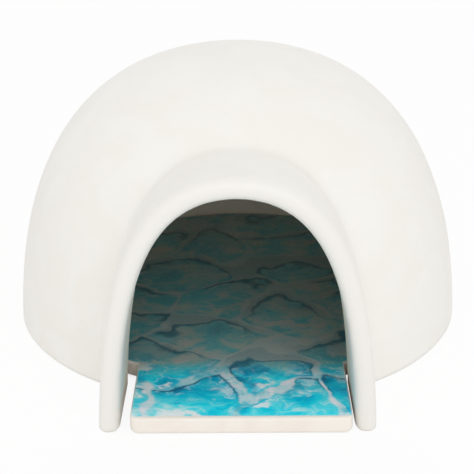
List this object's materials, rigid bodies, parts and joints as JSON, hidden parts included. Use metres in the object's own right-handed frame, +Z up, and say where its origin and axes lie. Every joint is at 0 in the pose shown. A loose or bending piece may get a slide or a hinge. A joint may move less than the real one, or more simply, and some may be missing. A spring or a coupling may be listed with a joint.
{
  "type": "rodent igloo",
  "caption": "Small-pet igloo: a ceramic dome with a round-rimmed arched entrance tunnel that lifts off a loose flat floor plate with a printed ice-stone top.",
  "frame": {"origin": "on the ground, on the axis of the round dome", "axes": "+Z up along the dome's axis, the doorway faces -Y, +X to the right seen from the doorway"},
  "size_m": [0.15, 0.1665, 0.0895],
  "materials": {
    "white_ceramic": "satin",
    "plate_ceramic": "satin",
    "ice_print": "gloss"
  },
  "bodies": {
    "plate": {"floor_plate": "plate_ceramic", "ice_print": "ice_print"},
    "dome": {"dome_shell": "white_ceramic"}
  },
  "joints": [
    {"name": "dome_lift", "type": "slide", "parent": "plate", "child": "dome", "axis": [0, 0, 1], "range_m": [0, 0.1]}
  ]
}
